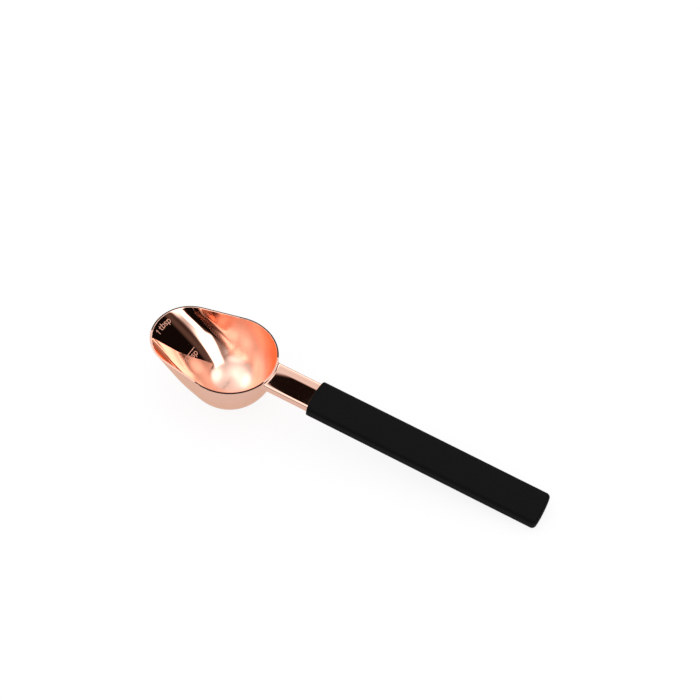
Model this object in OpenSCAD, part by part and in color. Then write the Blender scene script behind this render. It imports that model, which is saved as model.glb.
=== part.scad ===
// A coffee scoop: a drawn sheet-metal bowl with a pouring ramp, a solid bar brazed
// to its back, and a soft sleeve pulled over the bar. It lies as it comes to rest,
// on the bottom of the bowl and the underside of the grip's end.

/* [Bowl] */
// Length of the rim from the pouring tip to the back
bowl_l = 47.5; // [42:0.1:60]
// Radius of the rim's round back
back_r = 17.2; // [14:0.1:20]
// Radius of the rim's pouring tip
tip_r = 14.1; // [10:0.1:16]
// Depth outside, from the rim to the bottom
bowl_h = 21.7; // [16:0.1:28]
// Fullness of the profile, where 2 is an ellipse and more is squarer
fullness = 2.2; // [1.9:0.05:2.8]
// Swell of the ramp's sides on the way down, as a share of the widest that fits
ramp_swell = 0.74; // [0:0.02:0.86]
// Thickness of the sheet
sheet = 0.65; // [0.4:0.05:1]

/* [Bar] */
// Width of the bar
bar_w = 11.6; // [8:0.1:18]
// Thickness of the bar in the middle
bar_t = 3.7; // [2.8:0.1:6]
// Fall of the crowned top from the middle to the long edges
crown = 0.5; // [0.2:0.05:0.8]
// Radius along the bar's long edges
edge_r = 0.9; // [0.5:0.05:1.2]
// Bare length between the bowl and the grip
neck_l = 16.2; // [8:0.1:40]
// Drop from the rim to the bar's top where they meet
neck_drop = 0.2; // [0.1:0.05:2]
// Slope of the handle down from the plane of the rim, in degrees
slope = 5.1; // [0:0.1:12]
// Radius of the braze fillet round the bar at the bowl
fillet_r = 0.7; // [0.2:0.05:1.2]

/* [Grip] */
// Length of the grip
grip_l = 88.4; // [60:0.1:120]
// Wall of the sleeve round the bar
grip_wall = 1.1; // [0.7:0.05:2]
// Solid end of the sleeve beyond the bar
end_wall = 2.4; // [1.8:0.1:5]
// Rounding of the closed end
end_r = 1.4; // [0.8:0.05:1.6]
// Rounding of the sleeve's mouth
mouth_r = 0.6; // [0.2:0.05:0.65]
// Bulge of the sleeve's two end faces
bulge = 0.5; // [0:0.05:1.5]

/* [Finish] */
// Points round the rim
rim_points = 72; // [48:8:96]
// Rings down the bowl
bowl_rings = 20; // [14:1:26]
// Steps round each rounded edge
edge_steps = 5; // [3:1:8]
// Steps across half of the crowned top
crown_steps = 6; // [3:1:10]

/* [Hidden] */
copper = [0.85, 0.53, 0.40];
soft_black = [0.08, 0.08, 0.08];

// The bowl is laid out from the plane of its rim, with the pouring tip at x = 0
back_x = bowl_l - back_r;
rim_mid = bowl_l / 2;
// The ramp is straight from the tip to where that line touches the round body
ramp_r = pow(pow(back_r, fullness) / back_x, 1 / (fullness - 1));
ramp_z = bowl_h * pow(1 - pow(ramp_r / back_r, fullness), 1 / fullness);
// Power of the depth with which the ramp's sides swell before they close in
swell_power = 1.5;
// Step in degrees for slopes of the surface
nudge = 0.02;

// Radius of the round body at a depth
function body_r(z) = back_r * pow(max(0, 1 - pow(z / bowl_h, fullness)), 1 / fullness);

// Distance along a ray to a circle whose centre lies dx ahead on the x axis
function ray_to_circle(turn, dx, r) =
    dx * cos(turn) + sqrt(max(0, r * r - pow(dx * sin(turn), 2)));

// Distance from x = ox to the outline of one level, towards a turn of 0 to 180 degrees.
// The outline is the tip's circle and the body's circle with the lines that touch both.
function level_reach(turn, ox, tip_x, tip_rad, body_rad) =
    let (
        gap = back_x - tip_x,
        lean = gap > 0.001 ? asin(min(1, (body_rad - tip_rad) / gap)) : 90,
        side = [-sin(lean), cos(lean)],
        tip_turn = atan2(tip_rad * side[1], tip_x + tip_rad * side[0] - ox),
        body_turn = atan2(body_rad * side[1], back_x + body_rad * side[0] - ox)
    )
    turn < body_turn ? ray_to_circle(turn, back_x - ox, body_rad)
    : turn > tip_turn ? ray_to_circle(turn, tip_x - ox, tip_rad)
    : ((back_x - ox) * side[0] + body_rad) / (side * [cos(turn), sin(turn)]);

// Point of the bowl's outside: fall is 0 at the rim and 90 at the bottom
function outside(fall, turn) =
    let (
        z = bowl_h * pow(sin(fall), 2 / fullness),
        f = min(1, z / ramp_z),
        swell = ramp_swell * (back_x - tip_r) * pow(f, swell_power) * (1 - f),
        tip_rad = tip_r + f * (ramp_r - tip_r) + swell,
        tip_x = f * (back_x - ramp_r) + tip_rad,
        ox = rim_mid + f * (back_x - rim_mid),
        r = level_reach(acos(cos(turn)), ox, tip_x, tip_rad, body_r(z))
    )
    [ox + r * cos(turn), r * sin(turn), -z];

function unit(v) = v / norm(v);
// Outward direction, square to the outside
function outward(fall, turn) =
    unit(cross(
        outside(fall + nudge, turn) - outside(max(0, fall - nudge), turn),
        outside(fall, turn + nudge) - outside(fall, turn - nudge)
    ));
// The inside lies one sheet in from the outside, and the rim is cut level
function inside(fall, turn) = outside(fall, turn) - sheet * outward(fall, turn);
function rim_inside(turn) =
    let (n = outward(0, turn), level = [n[0], n[1], 0])
    outside(0, turn) - sheet * level / (level * level);

rim_turns = [for (i = [0:rim_points - 1]) 360 * i / rim_points];
ring_falls = [for (j = [1:bowl_rings - 1]) 90 * j / bowl_rings];
outside_rings = [for (fall = concat([0], ring_falls)) [for (turn = rim_turns) outside(fall, turn)]];
inside_rings = concat(
    [[for (turn = rim_turns) rim_inside(turn)]],
    [for (fall = ring_falls) [for (turn = rim_turns) inside(fall, turn)]]
);

// The bar's section, with y across and z up from the middle of its top: a crown arc,
// rounded long edges and a flat underside. It grows outwards evenly by a given amount.
crown_r = (pow(bar_w / 2, 2) + crown * crown) / (2 * crown);
edge_y = bar_w / 2 - edge_r;
top_edge_z = sqrt(pow(crown_r - edge_r, 2) - edge_y * edge_y) - crown_r;
crown_turn = asin(edge_y / (crown_r - edge_r));
function arc(y, z, r, from, to, steps) =
    [for (i = [0:steps]) let (a = from + (to - from) * i / steps) [y + r * cos(a), z + r * sin(a)]];
function half_section(grow) = concat(
    arc(edge_y, edge_r - bar_t, edge_r + grow, -90, 0, edge_steps),
    arc(edge_y, top_edge_z, edge_r + grow, 0, 90 - crown_turn, edge_steps),
    [for (i = [1:crown_steps]) let (a = crown_turn * (1 - i / crown_steps))
        (crown_r + grow) * [sin(a), cos(a)] - [0, crown_r]]
);
function bar_section(grow) =
    let (half = half_section(grow), last = len(half) - 1)
    concat(half, [for (i = [last - 1:-1:0]) [-half[i][0], half[i][1]]]);

// A ring of the bar, square to it
function bar_ring(x, grow) = [for (p = bar_section(grow)) [x, p[0], p[1]]];
// A ring that follows the bowl's round wall at a distance from it
function root_ring(gap, grow) =
    [for (p = bar_section(grow)) [gap + sqrt(back_r * back_r - p[0] * p[0]) - back_r, p[0], p[1]]];
// A ring at an end of the sleeve, whose middle stands out towards side
grip_half = bar_w / 2 + grip_wall;
function bulged_ring(x, side, ring) =
    [for (p = ring) [x + side * bulge * (1 - pow(p[1] / grip_half, 2)), p[1], p[2]]];
function shrunk(ring, share) =
    [for (p = ring) [p[0], share * p[1], share * p[2] - (1 - share) * bar_t / 2]];

// How far the bar runs in behind the wall's outer face before it is cut to it, which is
// more than the wall falls back by the bar's underside
root_margin = 1;
root_depth = back_r - body_r(neck_drop + bar_t + 2 * fillet_r) + root_margin;
bar_end = neck_l + grip_l - end_wall;
bar_rings = concat(
    [root_ring(-root_depth, fillet_r)],
    [for (i = [0:edge_steps]) let (a = 90 * i / edge_steps)
        root_ring(fillet_r * (1 - cos(a)), fillet_r * (1 - sin(a)))],
    [bar_ring(bar_end, 0)]
);

// Least radius left round the sleeve's end face where its rounding ends
face_margin = 0.1;
// Steps from the end face's edge to its middle
face_steps = 3;
// Rings of the sleeve, from the end of the bar out to the mouth, round its edge and
// along the outside to the closed end
mouth = neck_l + bulge;
grip_end = neck_l + grip_l - bulge;
end_round = min(end_r, grip_wall + edge_r - face_margin);
end_face = bar_ring(0, grip_wall - end_round);
sleeve_rings = concat(
    [bar_ring(bar_end, 0), bulged_ring(mouth, -1, bar_ring(0, 0))],
    [for (i = [0:edge_steps]) let (a = 90 * i / edge_steps)
        bulged_ring(mouth + mouth_r * (1 - cos(a)), -1,
            bar_ring(0, grip_wall - mouth_r * (1 - sin(a))))],
    [for (i = [edge_steps:-1:0]) let (a = 90 * i / edge_steps)
        bulged_ring(grip_end - end_round * (1 - cos(a)), 1,
            bar_ring(0, grip_wall - end_round * (1 - sin(a))))],
    [for (i = [face_steps - 1:-1:1]) bulged_ring(grip_end, 1, shrunk(end_face, i / face_steps))]
);

// A closed skin over rings with as many points each, with a point at either end
module skin(first, rings, last) {
    n = len(rings[0]);
    m = len(rings);
    points = concat([first], [for (ring = rings) each ring], [last]);
    faces = concat(
        [for (i = [0:n - 1]) [0, 1 + i, 1 + (i + 1) % n]],
        [for (j = [0:m - 2], i = [0:n - 1]) let (a = 1 + j * n, b = a + n, k = (i + 1) % n)
            each [[a + i, b + i, b + k], [a + i, b + k, a + k]]],
        [for (i = [0:n - 1]) let (a = 1 + (m - 1) * n) [a + i, m * n + 1, a + (i + 1) % n]]
    );
    polyhedron(points, faces, convexity = 6);
}

function reversed(list) = [for (i = [len(list) - 1:-1:0]) list[i]];

module bowl_shell() {
    skin([back_x, 0, -bowl_h], concat(reversed(outside_rings), inside_rings), [back_x, 0, sheet - bowl_h]);
}

module bowl_core() {
    skin([back_x, 0, -bowl_h], reversed(outside_rings), [rim_mid, 0, 0]);
}

// The handle starts at the back of the rim and slopes down from there
module on_handle() {
    translate([bowl_l, 0, -neck_drop]) rotate([0, slope, 0]) children();
}
function from_handle(p) = [
    bowl_l + p[0] * cos(slope) + p[2] * sin(slope),
    p[1],
    -neck_drop - p[0] * sin(slope) + p[2] * cos(slope)
];

// Rest: the whole scoop tips towards the grip until the round bottom of the bowl and
// the rounded heel of the grip stand on one level
heel = from_handle([neck_l + grip_l - end_round, 0, end_round - bar_t - grip_wall]);
dual = fullness / (fullness - 1);
function bowl_low(tip) =
    -back_x * sin(tip) - pow(pow(back_r * sin(tip), dual) + pow(bowl_h * cos(tip), dual), 1 / dual);
function heel_low(tip) = heel[2] * cos(tip) - heel[0] * sin(tip) - end_round;
function settle(tip, steps) = steps == 0 ? tip
    : settle(max(0, tip + (heel_low(tip) - bowl_low(tip)) / (heel[0] - back_x) * 180 / PI), steps - 1);
rest_tip = settle(0, 12);
function at_rest(p) = [
    p[0] * cos(rest_tip) + p[2] * sin(rest_tip),
    p[1],
    p[2] * cos(rest_tip) - p[0] * sin(rest_tip)
];

// The origin lies under the middle of the scoop's length
bowl_at_rest = [for (ring = outside_rings, p = ring) at_rest(p)];
grip_at_rest = [for (ring = sleeve_rings, p = ring) at_rest(from_handle(p))];
low_z = min([for (p = concat(bowl_at_rest, grip_at_rest)) p[2]]);
tip_end = min([for (p = bowl_at_rest) p[0]]);
grip_tail = max([for (p = grip_at_rest) p[0]]);
module resting() {
    translate([-(tip_end + grip_tail) / 2, 0, -low_z]) rotate([0, rest_tip, 0]) children();
}

module scoop_bowl() {
    color(copper) resting() bowl_shell();
}

module handle_bar() {
    color(copper) resting() difference() {
        on_handle() skin([-root_depth - root_margin, 0, -bar_t / 2], bar_rings, [bar_end, 0, -bar_t / 2]);
        bowl_core();
        translate([0, -bar_w, 0]) cube([bowl_l + bar_w, 2 * bar_w, bar_w]);
    }
}

module grip_sleeve() {
    end_tip = [grip_end + bulge, 0, -bar_t / 2];
    color(soft_black) resting() on_handle() skin([bar_end, 0, -bar_t / 2], sleeve_rings, end_tip);
}

scoop_bowl();
handle_bar();
grip_sleeve();
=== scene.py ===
"""A measuring scoop for coffee, lying on a white table.

A deep-drawn bowl with a pouring ramp and a flat bar behind it, both plated in mirror-
polished copper, with a soft black sleeve pulled over the bar. Lengths are in millimetres
until a mesh is made from them. Angles are in degrees in the lists of the rim's painted dark
reflection and of the studio, and in radians elsewhere.
"""

import math

import bpy
import numpy as np
from mathutils import Matrix, Vector


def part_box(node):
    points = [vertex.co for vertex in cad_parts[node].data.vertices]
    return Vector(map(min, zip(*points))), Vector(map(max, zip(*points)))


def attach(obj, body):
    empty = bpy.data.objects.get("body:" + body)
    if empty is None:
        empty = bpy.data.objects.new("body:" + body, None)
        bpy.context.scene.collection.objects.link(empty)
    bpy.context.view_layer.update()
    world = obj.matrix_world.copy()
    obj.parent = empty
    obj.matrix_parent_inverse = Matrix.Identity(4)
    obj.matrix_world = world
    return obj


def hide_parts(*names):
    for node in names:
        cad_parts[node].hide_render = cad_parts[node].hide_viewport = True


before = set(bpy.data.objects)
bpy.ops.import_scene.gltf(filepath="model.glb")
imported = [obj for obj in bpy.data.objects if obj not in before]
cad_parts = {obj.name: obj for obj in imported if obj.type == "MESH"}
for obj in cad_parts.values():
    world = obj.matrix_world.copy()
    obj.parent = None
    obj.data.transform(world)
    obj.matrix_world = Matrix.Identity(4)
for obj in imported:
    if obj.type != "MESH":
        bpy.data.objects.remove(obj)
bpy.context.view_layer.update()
MM = 0.001

# The bowl: the rim's outline, the depth, and how full the round body is
BOWL_L = 47.5
BACK_R = 17.2
TIP_R = 14.1
BOWL_H = 21.7
FULLNESS = 2.2
RAMP_SWELL = 0.74
SWELL_POWER = 1.5
SHEET = 0.65
RIM_ROUND = 0.14

# The rim's painted dark reflection: arcs of its cut edge get a dark copper that stands in for the
# dark studio the flat edge mirrors. From and to in degrees round the rim, from +X towards +Y,
# then the first and last row of faces across it. One row ends at this share of the flat, from
# outside.
PAINTED_DARK_SHARE = 0.75
PAINTED_DARK_RIM_ARCS = [
    (17, 85, 2, 8),
    (85, 190, 4, 6),
    (276, 284, 5, 9),
    (284, 292, 3, 12),
    (292, 347, 0, 14),
]

# The bar behind it
BAR_W = 11.6
BAR_T = 3.7
CROWN = 0.5
EDGE_R = 0.9
NECK_L = 16.2
NECK_DROP = 0.2
SLOPE = math.radians(5.1)
FILLET_R = 0.7

# The sleeve; its end is trimmed a little to stay inside the solid's
GRIP_L = 88.4
GRIP_WALL = 1.1
END_WALL = 2.4
END_R = 1.4
MOUTH_R = 0.6
BULGE = 0.5
END_TRIM = 0.02

# The measure marks on the ramp's inside: depths below the rim, middles along their level,
# and how much less deep a point lies for each millimetre up the wall
LETTER_H = 2.05
LETTER_GAP = 0.19
MARK_W = 0.33
MARK_H = 0.03
TABLESPOON_DEPTH, TABLESPOON_MIDDLE = 2.25, 0.7
TEASPOON_DEPTH, TEASPOON_MIDDLE = 12.8, 0.5
LINE_DEPTH, LINE_MIDDLE, LINE_LENGTH, LINE_SAG = 10.95, 0.54, 6.7, 0.35
RAMP_CLIMB = 0.673

# How finely the pieces are divided, and how often a place is worked out again from the last
ROUND_RIM = 288
DOWN_BOWL = 64
ROUND_EDGE = 8
ROUND_CROWN = 14
ALONG_BAR = 42
ALONG_LINE = 12
ALONG_STROKE = 0.12
ARC_STEP = 15
NEAR_RIM = (0.32, 0.6, 0.9, 1.3)
NEAR_BOTTOM = math.radians(5)
REST_TRIES, ROOT_TRIES, DEPTH_TRIES = 24, 8, 6

# The bowl's form, laid out from the plane of its rim with the tip at x = 0

BACK_X = BOWL_L - BACK_R
RIM_MID = BOWL_L / 2
RAMP_R = (BACK_R**FULLNESS / BACK_X) ** (1 / (FULLNESS - 1))
RAMP_Z = BOWL_H * (1 - (RAMP_R / BACK_R) ** FULLNESS) ** (1 / FULLNESS)


def body_radius(depth):
    """Radius of the round body at a depth below the rim."""
    share = np.clip(np.asarray(depth, float) / BOWL_H, 0, 1)
    return BACK_R * (1 - share**FULLNESS) ** (1 / FULLNESS)


def ramp_circle(depth):
    """Centre and radius of the ramp's circle at a depth."""
    f = np.minimum(1, depth / RAMP_Z)
    swell = RAMP_SWELL * (BACK_X - TIP_R) * f**SWELL_POWER * (1 - f)
    radius = TIP_R + f * (RAMP_R - TIP_R) + swell
    return f * (BACK_X - RAMP_R) + radius, radius, f


def outer_wall(depth, turn):
    """Point of the bowl's outside at a depth, seen at a turn from the level's middle."""
    depth, turn = np.broadcast_arrays(np.asarray(depth, float), np.asarray(turn, float))
    body = body_radius(depth)
    tip_x, tip_rad, f = ramp_circle(depth)
    middle = RIM_MID + f * (BACK_X - RIM_MID)
    gap = np.maximum(BACK_X - tip_x, 1e-9)
    lean = np.where(gap > 1e-3, np.arcsin(np.clip((body - tip_rad) / gap, -1, 1)), math.pi / 2)
    side_x, side_y = -np.sin(lean), np.cos(lean)
    tip_turn = np.arctan2(tip_rad * side_y, tip_x + tip_rad * side_x - middle)
    body_turn = np.arctan2(body * side_y, BACK_X + body * side_x - middle)
    half = np.arccos(np.clip(np.cos(turn), -1, 1))

    def to_circle(ahead, radius):
        """Reach to a circle whose centre lies straight ahead."""
        across = ahead * np.sin(half)
        return ahead * np.cos(half) + np.sqrt(np.maximum(0, radius**2 - across**2))

    facing = np.maximum(side_x * np.cos(half) + side_y * np.sin(half), 1e-9)
    to_side = ((BACK_X - middle) * side_x + body) / facing
    reach = np.where(
        half < body_turn,
        to_circle(BACK_X - middle, body),
        np.where(half > tip_turn, to_circle(tip_x - middle, tip_rad), to_side),
    )
    return np.stack([middle + reach * np.cos(turn), reach * np.sin(turn), -depth], -1)


def depth_of(fall):
    """Depth at a fall of 0 at the rim to a quarter turn at the bottom."""
    return BOWL_H * np.sin(fall) ** (2 / FULLNESS)


def fall_of(depth):
    """Fall at a depth of the outside."""
    return np.arcsin(np.clip(np.asarray(depth, float) / BOWL_H, 0, 1) ** (FULLNESS / 2))


def outward(fall, turn, step=2e-4):
    """Direction square to the outside, away from the metal."""
    fall, turn = np.broadcast_arrays(np.asarray(fall, float), np.asarray(turn, float))
    down = outer_wall(depth_of(fall + step), turn) - outer_wall(
        depth_of(np.maximum(0, fall - step)), turn
    )
    depth = depth_of(fall)
    along = outer_wall(depth, turn + step) - outer_wall(depth, turn - step)
    square = np.cross(down, along)
    return square / np.linalg.norm(square, axis=-1, keepdims=True)


def inner_wall(fall, turn):
    """Point of the inside, one sheet in from the outside."""
    return outer_wall(depth_of(fall), turn) - SHEET * outward(fall, turn)


def inner_fall(depth, turn):
    """Fall at which the inside reaches a depth of its own."""
    below = np.zeros(np.shape(turn)) + depth
    for _ in range(DEPTH_TRIES):
        below = depth + SHEET * np.maximum(0, -outward(fall_of(below), turn)[..., 2])
    return fall_of(below)


def inner_level(depth, turn):
    """Point of the inside at a depth of its own."""
    return inner_wall(inner_fall(depth, turn), turn)


# Rest: the scoop tips towards the grip until bowl and heel stand on one level


def behind_bowl(along, across, up):
    """Point of the handle, given from the middle of the bar's top at the bowl."""
    along, across, up = np.broadcast_arrays(along, across, up)
    c, s = math.cos(SLOPE), math.sin(SLOPE)
    return np.stack(
        [BOWL_L + along * c + up * s, across, -NECK_DROP - along * s + up * c], -1
    ).astype(float)


def settle():
    """How far the rim's plane tips towards the grip before the heel touches."""
    heel = behind_bowl(NECK_L + GRIP_L - END_R, 0, END_R - BAR_T - GRIP_WALL)
    dual = FULLNESS / (FULLNESS - 1)
    tip = 0.0
    for _ in range(REST_TRIES):
        c, s = math.cos(tip), math.sin(tip)
        bowl_low = -BACK_X * s - ((BACK_R * s) ** dual + (BOWL_H * c) ** dual) ** (1 / dual)
        heel_low = heel[2] * c - heel[0] * s - END_R
        tip = max(0.0, tip + (heel_low - bowl_low) / (heel[0] - BACK_X))
    return tip


REST_TIP = settle()
bowl_low_corner, bowl_high_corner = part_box("scoop_bowl")
TIP_AT = np.array([bowl_low_corner.x, 0.0, bowl_high_corner.z]) / MM


def at_rest(points):
    """From the rim's own frame to the row frame."""
    points = np.asarray(points, float)
    c, s = math.cos(REST_TIP), math.sin(REST_TIP)
    x, y, z = points[..., 0], points[..., 1], points[..., 2]
    return np.stack([x * c + z * s, y, z * c - x * s], -1) + TIP_AT


# Meshes


def smooth_piece(name, points, faces):
    """A smoothly shaded piece of the scoop, from points in millimetres."""
    mesh = bpy.data.meshes.new(name)
    mesh.from_pydata([tuple(p) for p in np.asarray(points) * MM], [], faces)
    mesh.polygons.foreach_set("use_smooth", [True] * len(mesh.polygons))
    mesh.validate()
    mesh.update()
    piece = bpy.data.objects.new(name, mesh)
    bpy.context.scene.collection.objects.link(piece)
    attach(piece, "root")
    return piece


def skin(first, rings, last):
    """A closed skin over rings of as many points each, with a point at either end."""
    n, m = len(rings[0]), len(rings)
    points = np.vstack([[first]] + list(rings) + [[last]])
    faces = [(0, 1 + i, 1 + (i + 1) % n) for i in range(n)]
    for j in range(m - 1):
        a, b = 1 + j * n, 1 + (j + 1) * n
        faces += [(a + i, b + i, b + (i + 1) % n, a + (i + 1) % n) for i in range(n)]
    a = 1 + (m - 1) * n
    faces += [(a + i, m * n + 1, a + (i + 1) % n) for i in range(n)]
    return points, faces


def rim_rings(turns):
    """The rim's cut edge, level on top, with a fine round on either side."""
    fall = np.zeros(len(turns))
    normal = outward(fall, turns)
    lean = np.arcsin(np.clip(-normal[:, 2], -1, 1))
    level = normal[:, :2] / np.cos(lean)[:, None]
    away = np.column_stack([level, np.zeros(len(turns))])
    up = np.array([0.0, 0.0, 1.0])
    down_wall = -np.sin(lean)[:, None] * away - np.cos(lean)[:, None] * up
    corner_out = outer_wall(fall, turns)
    corner_in = corner_out - SHEET * away / np.cos(lean)[:, None]
    rings = []
    for corner, side, start, stop in (
        (corner_out, -away, -lean, np.full(len(turns), math.pi / 2)),
        (corner_in, away, np.full(len(turns), math.pi / 2), math.pi - lean),
    ):
        half = np.arccos(np.clip(np.sum(down_wall * side, -1), -1, 1)) / 2
        middle = down_wall + side
        middle /= np.linalg.norm(middle, axis=-1, keepdims=True)
        centre = corner + RIM_ROUND / np.sin(half)[:, None] * middle
        for i in range(ROUND_EDGE - 1):
            angle = start + (stop - start) * i / (ROUND_EDGE - 2)
            arm = np.cos(angle)[:, None] * away + np.sin(angle)[:, None] * up
            rings.append(centre + RIM_ROUND * arm)
    outer, inner = rings[ROUND_EDGE - 2], rings[ROUND_EDGE - 1]
    rings.insert(ROUND_EDGE - 1, outer + PAINTED_DARK_SHARE * (inner - outer))
    return rings


def make_bowl():
    """One skin: up the outside, over the rim and down the inside."""
    turns = np.linspace(0, 2 * math.pi, ROUND_RIM, endpoint=False)
    falls = np.linspace(NEAR_BOTTOM, math.pi / 2, DOWN_BOWL)[:-1]
    outside = [outer_wall(depth_of(np.full(len(turns), f)), turns) for f in falls[::-1]]
    outside += [outer_wall(np.full(len(turns), d), turns) for d in NEAR_RIM[::-1]]
    inside = [inner_level(d, turns) for d in NEAR_RIM[:3]]
    inside += [inner_wall(np.full(len(turns), f), turns) for f in falls]
    points, faces = skin(
        [BACK_X, 0, -BOWL_H], outside + rim_rings(turns) + inside, [BACK_X, 0, SHEET - BOWL_H]
    )
    return smooth_piece("copper_bowl", at_rest(points), faces)


CROWN_R = ((BAR_W / 2) ** 2 + CROWN**2) / (2 * CROWN)
EDGE_Y = BAR_W / 2 - EDGE_R
TOP_EDGE_Z = math.sqrt((CROWN_R - EDGE_R) ** 2 - EDGE_Y**2) - CROWN_R
CROWN_TURN = math.asin(EDGE_Y / (CROWN_R - EDGE_R))
BESIDE_EDGE = (0.04, 0.15, 0.5)
ACROSS_BOTTOM = (0, 0.3, 0.6, 0.85)


def bar_section(grow):
    """The bar's section: flat below, rounded long edges and a gently crowned top."""
    r = EDGE_R + grow
    low = EDGE_R - BAR_T
    half = [(s * EDGE_Y, low - r) for s in ACROSS_BOTTOM]
    for i in range(ROUND_EDGE + 1):
        a = math.pi / 2 * (i / ROUND_EDGE - 1)
        half.append((EDGE_Y + r * math.cos(a), low + r * math.sin(a)))
    half += [(EDGE_Y + r, low + (TOP_EDGE_Z - low) * s) for s in BESIDE_EDGE]
    half.append((EDGE_Y + r, TOP_EDGE_Z - (TOP_EDGE_Z - low) * BESIDE_EDGE[0]))
    for i in range(ROUND_EDGE + 1):
        a = (math.pi / 2 - CROWN_TURN) * i / ROUND_EDGE
        half.append((EDGE_Y + r * math.cos(a), TOP_EDGE_Z + r * math.sin(a)))
    for i in range(1, ROUND_CROWN + 1):
        a = CROWN_TURN * (1 - i / ROUND_CROWN)
        half.append(((CROWN_R + grow) * math.sin(a), (CROWN_R + grow) * math.cos(a) - CROWN_R))
    half = np.array(half)
    mirrored = half[-2:0:-1] * [-1, 1]
    return np.vstack([half, mirrored])


def bar_ring(along, grow):
    """The bar's section at a place along it."""
    section = bar_section(grow)
    return behind_bowl(along, section[:, 0], section[:, 1])


BELOW_RIM = 0.02
IN_WALL = 0.3
MIDDLE_IN_WALL = 0.6
PAST_FILLET = (0.06, 0.3)
STRAIGHT_FROM = 3.0


def root_ring(gap, grow):
    """A ring of the bar that keeps a gap from the bowl's round wall, and stays below the rim."""
    across, up = bar_section(grow).T
    along = np.zeros(len(across))
    for _ in range(ROOT_TRIES):
        spot = behind_bowl(along, across, up)
        wall = BACK_X + np.sqrt(body_radius(np.maximum(0, -spot[:, 2])) ** 2 - across**2)
        along += (wall + gap - spot[:, 0]) / math.cos(SLOPE)
    spot = behind_bowl(along, across, up)
    spot[:, 2] = np.minimum(spot[:, 2], -BELOW_RIM)
    return spot


def make_bar():
    """The bar, from inside the bowl's wall over its fillet to its end in the sleeve."""
    bar_end = NECK_L + GRIP_L - END_WALL
    rings = [root_ring(-IN_WALL, FILLET_R)]
    for i in range(ROUND_EDGE + 1):
        a = math.pi / 2 * i / ROUND_EDGE
        rings.append(root_ring(FILLET_R * (1 - math.cos(a)), FILLET_R * (1 - math.sin(a))))
    rings += [root_ring(FILLET_R + past, 0) for past in PAST_FILLET]
    rings += [bar_ring(x, 0) for x in np.linspace(STRAIGHT_FROM, bar_end, ALONG_BAR)]
    points, faces = skin(
        behind_bowl(-MIDDLE_IN_WALL, 0, -BAR_T / 2), rings, behind_bowl(bar_end, 0, -BAR_T / 2)
    )
    return smooth_piece("copper_bar", at_rest(points), faces)


MOUTH_LINING = 1
BOW_POWER = 12
SLEEVE_SHARES = [0.002, 0.01, *np.linspace(0.03, 0.97, 38), 0.99, 0.998]
END_SHARES = (0.98, 0.9, 0.7, 0.5, 0.3, 0.1)


def make_sleeve():
    """The sleeve, with a bowed mouth that shows its thickness and a bowed, closed end."""
    bar_end = NECK_L + GRIP_L - END_WALL
    mouth, far = NECK_L + BULGE, NECK_L + GRIP_L - BULGE - END_TRIM
    half_width = BAR_W / 2 + GRIP_WALL

    def ring(along, grow, side, share=1.0):
        """A section, bowed to either side and drawn in to a share of its size."""
        section = bar_section(grow)
        across, up = share * section[:, 0], share * section[:, 1] - (1 - share) * BAR_T / 2
        return behind_bowl(along + side * BULGE * (1 - (across / half_width) ** 2), across, up)

    rings = [ring(bar_end, 0, 0), ring(mouth + MOUTH_LINING, 0, -1), ring(mouth, 0, -1)]
    for i in range(ROUND_EDGE + 1):
        a = math.pi / 2 * i / ROUND_EDGE
        grow = GRIP_WALL - MOUTH_R * (1 - math.sin(a))
        rings.append(ring(mouth + MOUTH_R * (1 - math.cos(a)), grow, -1))
    start, stop = mouth + MOUTH_R, far - END_R
    for s in SLEEVE_SHARES:
        bow = (1 - s) ** BOW_POWER * -1 + s**BOW_POWER
        rings.append(ring(start + (stop - start) * s, GRIP_WALL, bow))
    for i in range(ROUND_EDGE, -1, -1):
        a = math.pi / 2 * i / ROUND_EDGE
        grow = GRIP_WALL - END_R * (1 - math.sin(a))
        rings.append(ring(far - END_R * (1 - math.cos(a)), grow, 1))
    rings += [ring(far, GRIP_WALL - END_R, 1, share) for share in END_SHARES]
    points, faces = skin(
        behind_bowl(bar_end, 0, -BAR_T / 2), rings, behind_bowl(far + BULGE, 0, -BAR_T / 2)
    )
    return smooth_piece("soft_sleeve", at_rest(points), faces)


# Measure marks: a plain font of single strokes, in shares of the height of its tall letters


def bend(across, up, wide, tall, start, stop):
    """Points of an arc, in degrees from the right, turning left."""
    steps = 2 + int(abs(stop - start) / ARC_STEP)
    angles = np.radians(np.linspace(start, stop, steps))
    return [(across + wide * math.cos(a), up + tall * math.sin(a)) for a in angles]


ROUND_OF_LETTER = bend(0.34, 0.34, 0.26, 0.34, 0, 360)
T_STEM = [(0.18, 0.94), (0.18, 0.2)] + bend(0.34, 0.18, 0.16, 0.18, 190, 285)
LETTERS = {
    "1": (0.30, [[(0.02, 0.78), (0.22, 1.0), (0.22, 0.0)]]),
    "t": (0.40, [T_STEM, [(0.0, 0.68), (0.38, 0.68)]]),
    "b": (0.60, [[(0.08, 1.0), (0.08, 0.0)], ROUND_OF_LETTER]),
    "p": (0.60, [[(0.08, 0.68), (0.08, -0.30)], ROUND_OF_LETTER]),
    "s": (0.42, [bend(0.21, 0.51, 0.19, 0.17, 25, 270) + bend(0.21, 0.17, 0.19, 0.17, 90, -155)]),
    " ": (0.22, []),
}


def writing(words, middle):
    """Strokes of words in millimetres, with their middle at a place along the line."""
    strokes, at = [], 0.0
    for letter in words:
        width, lines = LETTERS[letter]
        strokes += [[(LETTER_H * (at + x), LETTER_H * y) for x, y in line] for line in lines]
        at += width + LETTER_GAP
    shift = middle - LETTER_H * (at - LETTER_GAP) / 2
    return [[(x + shift, y) for x, y in line] for line in strokes]


def run_along(points):
    """Length of a line up to each of its points."""
    return np.concatenate([[0], np.cumsum(np.linalg.norm(np.diff(points, axis=0), axis=1))])


RAMP_TURN = 0.7
RAMP_STEPS = 281


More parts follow.
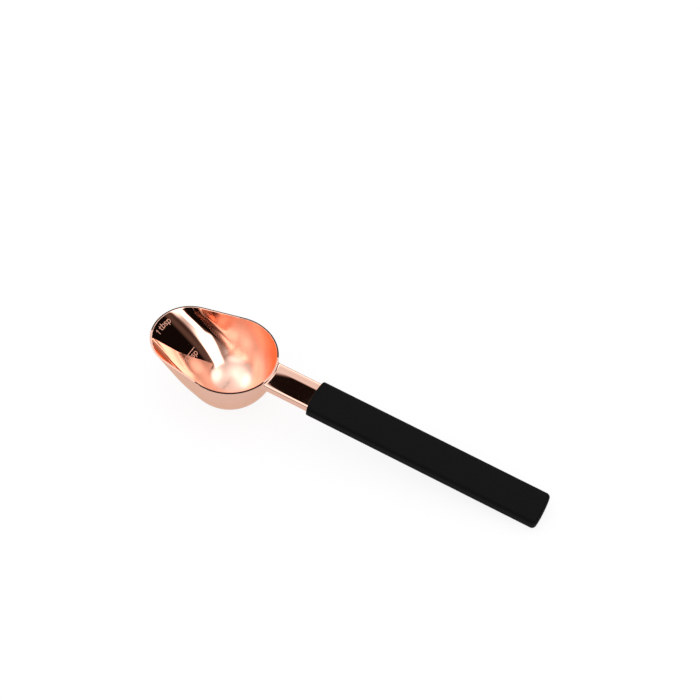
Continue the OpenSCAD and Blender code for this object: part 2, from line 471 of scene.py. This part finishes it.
def on_ramp(along, up, proud, depth):
    """Point on the ramp's inside: along its level at a depth, up the wall, proud of it."""
    turns = np.linspace(math.pi + RAMP_TURN, math.pi - RAMP_TURN, RAMP_STEPS)
    level = inner_level(depth, turns)
    run = run_along(level)
    turn = np.interp(along + run[len(run) // 2], run, turns)
    fall = inner_fall(depth - up * RAMP_CLIMB, turn)
    return inner_wall(fall, turn) - proud[:, None] * outward(fall, turn)


BEAD_SECTION = [(-1, -0.5), (-0.8, 0.6), (-0.35, 1), (0.35, 1), (0.8, 0.6), (1, -0.5)]
BEAD_END_TURNS = np.radians((75, 50, 25))


def bead(line, depth):
    """A low closed bead along a stroke, rounded at both ends."""
    line = np.array(line, float)
    run = run_along(line)
    steps = np.linspace(0, run[-1], 2 + int(run[-1] / ALONG_STROKE))
    path = np.column_stack([np.interp(steps, run, line[:, i]) for i in (0, 1)])
    ahead = np.gradient(path, axis=0)
    ahead /= np.linalg.norm(ahead, axis=1, keepdims=True)
    half = MARK_W / 2
    turned_in = [(half * math.sin(a), math.cos(a)) for a in BEAD_END_TURNS]
    spots = [(path[0] - past * ahead[0], ahead[0], share) for past, share in turned_in]
    spots += [(p, a, 1.0) for p, a in zip(path, ahead)]
    spots += [(path[-1] + past * ahead[-1], ahead[-1], share) for past, share in turned_in[::-1]]
    places = []
    for spot, toward, share in spots:
        side = np.array([-toward[1], toward[0]])
        places += [spot + half * share * across * side for across, _ in BEAD_SECTION]
    places = np.array(places)
    proud = np.array([MARK_H * high for _, high in BEAD_SECTION] * len(spots))
    rings = on_ramp(places[:, 0], places[:, 1], proud, depth).reshape(len(spots), -1, 3)
    return skin(rings[0].mean(axis=0), rings, rings[-1].mean(axis=0))


def make_marks():
    """The tablespoon's mark at the rim, the teaspoon's below it, and the teaspoon's line."""
    half = LINE_LENGTH / 2
    big, small = writing("1 tbsp", TABLESPOON_MIDDLE), writing("1 tsp", TEASPOON_MIDDLE)
    written = [(line, TABLESPOON_DEPTH) for line in big]
    written += [(line, TEASPOON_DEPTH) for line in small]
    steps = [2 * i / ALONG_LINE - 1 for i in range(ALONG_LINE + 1)]
    level_line = [(LINE_MIDDLE + half * a, LINE_SAG * (a * a - 1)) for a in steps]
    written.append((level_line, LINE_DEPTH))
    points, faces = [], []
    for line, depth in written:
        new_points, new_faces = bead(line, depth)
        faces += [tuple(i + len(points) for i in face) for face in new_faces]
        points += list(new_points)
    return smooth_piece("measure_marks", at_rest(points), faces)


bowl = make_bowl()
marks = make_marks()
bar = make_bar()
sleeve = make_sleeve()
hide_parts("scoop_bowl")
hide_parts("handle_bar")
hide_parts("grip_sleeve")

# Finishes


class Out:
    """A socket of a shader node, with arithmetic."""

    def __init__(self, finish, socket):
        self.finish, self.socket = finish, socket

    def __add__(self, other):
        return self.finish.work_out("ADD", self, other)

    def __sub__(self, other):
        return self.finish.work_out("SUBTRACT", self, other)

    def __mul__(self, other):
        return self.finish.work_out("MULTIPLY", self, other)

    def __pow__(self, other):
        return self.finish.work_out("POWER", self, other)

    def __rsub__(self, other):
        return self.finish.work_out("SUBTRACT", other, self)

    __radd__ = __add__
    __rmul__ = __mul__


class Finish:
    """A material, a world or a lamp, and what makes its nodes."""

    def __init__(self, name, owner=None):
        self.owner = owner or bpy.data.materials.new(name)
        self.owner.use_nodes = True
        self.tree = self.owner.node_tree
        self.tree.nodes.clear()

    def node(self, kind, settings=None, inputs=None, out=0):
        """One node: its settings, then the values or links of its sockets."""
        made = self.tree.nodes.new(kind)
        for key, value in (settings or {}).items():
            setattr(made, key, value)
        for key, value in (inputs or {}).items():
            if isinstance(value, Out):
                self.tree.links.new(value.socket, made.inputs[key])
            else:
                made.inputs[key].default_value = value
        return Out(self, made.outputs[out]) if made.outputs else None

    def work_out(self, operation, *values):
        """One sum on values or sockets."""
        return self.node("ShaderNodeMath", {"operation": operation}, dict(enumerate(values)))

    def mix(self, share, first, second):
        """A mix of two colours."""
        inputs = {0: share, 6: first, 7: second}
        return self.node("ShaderNodeMix", {"data_type": "RGBA"}, inputs, out=2)

    def parts(self, vector):
        """The three parts of a vector."""
        made = self.node("ShaderNodeSeparateXYZ", None, {"Vector": vector})
        return [Out(self, made.socket.node.outputs[i]) for i in range(3)]

    def step(self, value, start, stop):
        """A smooth step from 0 at start to 1 at stop."""
        settings = {"interpolation_type": "SMOOTHSTEP"}
        flipped = start > stop
        low, high = min(start, stop), max(start, stop)
        inputs = {"Value": value, "From Min": low, "From Max": high}
        inputs.update({"To Min": 1.0 * flipped, "To Max": 1.0 - flipped})
        return self.node("ShaderNodeMapRange", settings, inputs)

    def ray(self, kind):
        """What the renderer knows of the ray that looks."""
        return self.node("ShaderNodeLightPath", out=kind)

    def surface(self, shader, kind="ShaderNodeOutputMaterial"):
        """The shader that shows."""
        self.node(kind, None, {"Surface": shader})


def put_on(piece, finish):
    """Give a piece its finish."""
    piece.data.materials.clear()
    piece.data.materials.append(finish.owner)


WHITE, BLACK = (1, 1, 1, 1), (0, 0, 0, 1)
COPPER = (0.97, 0.6, 0.48, 1)
PALE_COPPER = (0.86, 0.46, 0.34, 1)
EDGE_COPPER = (1.0, 0.84, 0.72, 1)
PAINTED_DEEP_MIRROR_GLOW = (0.9, 0.7, 0.5, 1)
PAINTED_DARK_REFLECTION = (0.05, 0.026, 0.02, 1)
SOOT = (0.0035, 0.0035, 0.0035, 1)

# Texture scales and the grain's height, and the places along the scoop between which its gloss
# softens from the ramp to the round body, all in metres
CLOUDS = 90.0
GRAIN, GRAIN_H = 2600.0, 0.00005
RAMP_ENDS, BODY_STARTS = -0.06, -0.048

# A ray that has met more mirrors than this shows the second mirror's light, or the copper's
# painted glow
PAST_ONE_MIRROR, PAST_THREE_MIRRORS = 1.5, 3.5


def copper_finish(name, colour, rough, cloudy, metal=1.0, rougher_body=0.0):
    """Copper plate: a little uneven, rougher in the round body, with a painted glow past the
    third mirror.
    """
    f = Finish(name)
    place = f.node("ShaderNodeTexCoord", out=3)
    cloud = f.node("ShaderNodeTexNoise", None, {"Vector": place, "Scale": CLOUDS, "Detail": 3.0})
    rough = rough + cloudy * cloud
    if rougher_body:
        rough = rough + rougher_body * f.step(f.parts(place)[0], RAMP_ENDS, BODY_STARTS)
    # Painted light: past the third mirror the copper glows in this colour, standing in for the
    # light of further reflections.
    deep = f.work_out("GREATER_THAN", f.ray("Glossy Depth"), PAST_THREE_MIRRORS)
    glow = f.mix(deep, BLACK, PAINTED_DEEP_MIRROR_GLOW)
    shader = f.node(
        "ShaderNodeBsdfPrincipled",
        None,
        {
            "Base Color": colour,
            "Metallic": metal,
            "Roughness": rough,
            "Specular Tint": EDGE_COPPER,
            "Emission Color": glow,
            "Emission Strength": 1.0,
        },
    )
    f.surface(shader)
    return f


def rubber_finish(name):
    """Soft-touch black: matt, with the finest grain."""
    f = Finish(name)
    place = f.node("ShaderNodeTexCoord", out=3)
    grain = f.node("ShaderNodeTexNoise", None, {"Vector": place, "Scale": GRAIN, "Detail": 2.0})
    uneven = {"Height": grain, "Strength": 0.12, "Distance": GRAIN_H}
    bump = f.node("ShaderNodeBump", None, uneven)
    shader = f.node(
        "ShaderNodeBsdfPrincipled",
        None,
        {
            "Base Color": SOOT,
            "Roughness": 0.5 + 0.1 * grain,
            "Specular IOR Level": 0.07,
            "Normal": bump,
        },
    )
    f.surface(shader)
    return f


put_on(bowl, copper_finish("polished_copper_plate", COPPER, 0.02, 0.02, rougher_body=0.18))
put_on(marks, copper_finish("etched_copper", PALE_COPPER, 0.5, 0.1, metal=0.3))
# Painted reflection: arcs of the rim's cut edge get a dark copper in place of the dark studio
# they would mirror.
bowl.data.materials.append(copper_finish("painted_dark_rim_reflection", PAINTED_DARK_REFLECTION, 0.18, 0.1).owner)
first_rim_ring = DOWN_BOWL - 1 + len(NEAR_RIM)
for face in bowl.data.polygons:
    ring = face.index // ROUND_RIM - 1 - first_rim_ring
    along, across = face.center.x / MM - TIP_AT[0] - BOWL_L / 2, face.center.y / MM
    angle = math.degrees(math.atan2(across, along)) % 360
    painted_dark = any(a < angle < b and low <= ring <= high for a, b, low, high in PAINTED_DARK_RIM_ARCS)
    face.material_index = int(painted_dark)
put_on(bar, copper_finish("mirror_copper_plate", COPPER, 0.01, 0.02))
put_on(sleeve, rubber_finish("soft_black_rubber"))

# The table, the light and the camera

DEGREES = 180 / math.pi
SOFT_LIGHT = 0.9

# The table: its paint, how much of it glows to the camera and in metal, and how bright
TABLE_PAINT = (0.8, 0.8, 0.8, 1)
TABLE_GLOW, MIRRORED_GLOW = 0.78, 0.65
TABLE_BRIGHT, MORE_WHEN_SEEN = 0.83, 0.27

# The studio, by bearing from +Y towards +X and height above the table, in degrees.
# Drapes: bearing, half width, softness, lift of the hem.
TENT_WHITE = 0.58
TENT_HEM = 27
TENT_SOFT = 12
TENT_DRAPES = [(60, 27, 21, 7), (90, 11, 8, 4), (165, 60, 26, -6)]
FLAG_BLACK = 0.006

# Strip lamps: bearing, half width, low and high end, lean of the low end, tilt of the sides
STRIP_LAMPS = [(119.5, 7, 9.7, 43.5, 0, 0), (116, 15.5, 23.1, 43.5, 0.27, 0.6)]
STRIP_BRIGHT = 2.5
STRIP_SIDE_SOFT, STRIP_LOW_SOFT, STRIP_TOP_SOFT = 4, 1.2, 5

# The flag behind the bar's black patch: left and right side, lean, low and high end
TOP_FLAG = (-6.3, -3.7, 0.16, 50.5, 79.2)
FLAG_SOFT, FLAG_RIGHT_SOFT, FLAG_ENDS_SOFT = 0.5, 0.3, 1
FLAG_THICK = 0.99

# Lamps and shades: bearing, height, half width, half height, softness, brightness added.
# The low lamps stand below the hem, and the last one shows only in a mirror seen in a mirror.
SOFTBOXES = [
    (-132, 64.5, 34, 17, 0.47, 0.6),
    (-94, 49.2, 17, 12, 0.7, 1.15),
    (67, 53, 19, 13.5, 0.7, 1.1),
    (169, 85, 10, 15, 0.8, 0.6),
    (167.7, 34.2, 21.5, 11, 0.5, 0.9),
    (11.3, 33.8, 15, 6.5, 0.35, 2.6),
    (-16, 37, 9, 6, 0.6, 0.8),
    (140, 31, 13, 9, 0.6, -0.32),
    (-59, 63.6, 110, 26, 0.7, 0.36),
]
LOW_LAMPS = [(-14, 6, 9, 9, 0.4, 0.95), (86, 27, 5.5, 5, 0.7, 0.1)]
SEEN_TWICE = (83, 23.8, 23, 3.6, 0.5, 0.5)
WARM_DARK = (1.0, 0.62, 0.5, 1)
WARM_BELOW = 0.7

HALF_TABLE = 4.0
table_corners = [(-1, -1), (1, -1), (1, 1), (-1, 1)]
table_mesh = bpy.data.meshes.new("table")
table_mesh.from_pydata(
    [(x * HALF_TABLE, y * HALF_TABLE, 0) for x, y in table_corners], [], [(0, 1, 2, 3)]
)
table = bpy.data.objects.new("table", table_mesh)
bpy.context.scene.collection.objects.link(table)
white = Finish("white_table")
seen = white.ray("Is Camera Ray") + white.ray("Is Transmission Ray")
mirrored = white.ray("Is Glossy Ray")
paint = white.node("ShaderNodeBsdfDiffuse", None, {"Color": TABLE_PAINT})
bright = MORE_WHEN_SEEN * seen + TABLE_BRIGHT
glow = white.node("ShaderNodeEmission", None, {"Color": WHITE, "Strength": bright})
share = TABLE_GLOW * seen + MIRRORED_GLOW * mirrored
white.surface(white.node("ShaderNodeMixShader", None, {0: share, 1: paint, 2: glow}))
put_on(table, white)


def studio_light(f):
    """Brightness of the studio in mirror metal: a white tent, black flags and lamps behind it."""
    x, y, z = f.parts(f.node("ShaderNodeTexCoord", out=0))
    bearing = f.work_out("ARCTAN2", x, y) * DEGREES
    height = f.work_out("ARCSINE", z) * DEGREES

    def turned(middle):
        """How far a direction is turned from a bearing, towards +X."""
        return f.work_out("WRAP", bearing - middle, 180.0, -180.0)

    def between(middle, half, soft):
        """1 within a half width of a bearing, softly 0 beyond it."""
        away = f.work_out("ABSOLUTE", turned(middle))
        return f.step(away, half + soft / 2, half - soft / 2)

    hem = TENT_HEM
    for middle, half, soft, lift in TENT_DRAPES:
        hem = lift * between(middle, half, soft) + hem
    tent = f.step(height - hem, -TENT_SOFT / 2, TENT_SOFT / 2)

    def patch(middle, level, half_wide, half_tall, soft, gain):
        """A soft oval round a bearing and a height."""
        wide = turned(middle) * (math.cos(math.radians(level)) / half_wide)
        tall = (height - level) * (1 / half_tall)
        reach = (wide * wide + tall * tall) ** 0.5
        return gain * f.step(reach, 1 + soft, 1 - soft)

    light = TENT_WHITE
    for lamp in SOFTBOXES:
        light = patch(*lamp) + light
    light = f.work_out("MAXIMUM", light, 0.0)
    strips = []
    for middle, half, low, high, lean, tilt in STRIP_LAMPS:
        edge = lean * turned(middle) + height
        strip = between(middle - tilt * (height - low), half, STRIP_SIDE_SOFT)
        strip = strip * f.step(edge, low - STRIP_LOW_SOFT, low + STRIP_LOW_SOFT)
        strips.append(strip * f.step(height, high + STRIP_TOP_SOFT, high - STRIP_TOP_SOFT))
    strip = f.work_out("MAXIMUM", *strips)
    light = FLAG_BLACK + light * tent * (1 - strip) + STRIP_BRIGHT * strip
    for lamp in LOW_LAMPS:
        light = light + patch(*lamp)
    again = f.work_out("GREATER_THAN", f.ray("Glossy Depth"), PAST_ONE_MIRROR)
    light = light + patch(*SEEN_TWICE) * again
    left, right, lean, low, high = TOP_FLAG
    left_side = bearing + lean * (height - low)
    flag = f.step(left_side, left - FLAG_SOFT, left + FLAG_SOFT)
    flag = flag * f.step(height, low - FLAG_ENDS_SOFT, low + FLAG_ENDS_SOFT)
    flag = flag * f.step(bearing, right + FLAG_RIGHT_SOFT, right - FLAG_RIGHT_SOFT)
    return light * (
        1 - FLAG_THICK * flag * f.step(height, high + FLAG_ENDS_SOFT, high - FLAG_ENDS_SOFT)
    )


world = bpy.data.worlds.new("studio")
bpy.context.scene.world = world
world.cycles.sampling_method = "NONE"
air = Finish("studio", world)
in_metal = air.ray("Is Glossy Ray")
seen_plainly = air.ray("Is Camera Ray") + air.ray("Is Transmission Ray")
plain = (1.0 - SOFT_LIGHT) * seen_plainly + SOFT_LIGHT
plain_air = air.node("ShaderNodeBackground", None, {"Color": WHITE, "Strength": plain})
brightness = studio_light(air)
dim = air.step(brightness, WARM_BELOW, 0.0)
tint = air.mix(dim, WHITE, WARM_DARK)
lamps = air.node("ShaderNodeBackground", None, {"Color": tint, "Strength": brightness})
whole = air.node("ShaderNodeMixShader", None, {0: in_metal, 1: plain_air, 2: lamps})
air.surface(whole, "ShaderNodeOutputWorld")

# The camera: its turn and rise, the tip's place from the picture's middle in millimetres, its
# distance, and the scale at that distance
CAMERA_TURN = math.radians(26.422)
CAMERA_RISE = math.radians(50.869)
TIP_RIGHT = -69.196
TIP_UP = 10.156
CAMERA_FAR = 574.8
PIXELS_PER_MM = 2.82088
IMAGE = 700
SENSOR = 36


def make_camera():
    """The camera, from the tip's place in the picture."""
    ct, st = math.cos(CAMERA_TURN), math.sin(CAMERA_TURN)
    cr, sr = math.cos(CAMERA_RISE), math.sin(CAMERA_RISE)
    right = np.array([ct, st, 0])
    up = np.array([-st * sr, ct * sr, cr])
    back = np.array([st * cr, -ct * cr, sr])
    spot = TIP_AT - TIP_RIGHT * right - TIP_UP * up + CAMERA_FAR * back
    data = bpy.data.cameras.new("camera")
    data.sensor_width = SENSOR
    data.lens = PIXELS_PER_MM * CAMERA_FAR * data.sensor_width / IMAGE
    data.clip_start, data.clip_end = 0.01, 50
    camera = bpy.data.objects.new("camera", data)
    bpy.context.scene.collection.objects.link(camera)
    turn = Matrix((right, up, back)).transposed()
    camera.matrix_world = Matrix.Translation(Vector(spot * MM)) @ turn.to_4x4()
    bpy.context.scene.camera = camera


make_camera()
bpy.context.scene.view_settings.view_transform = "Standard"
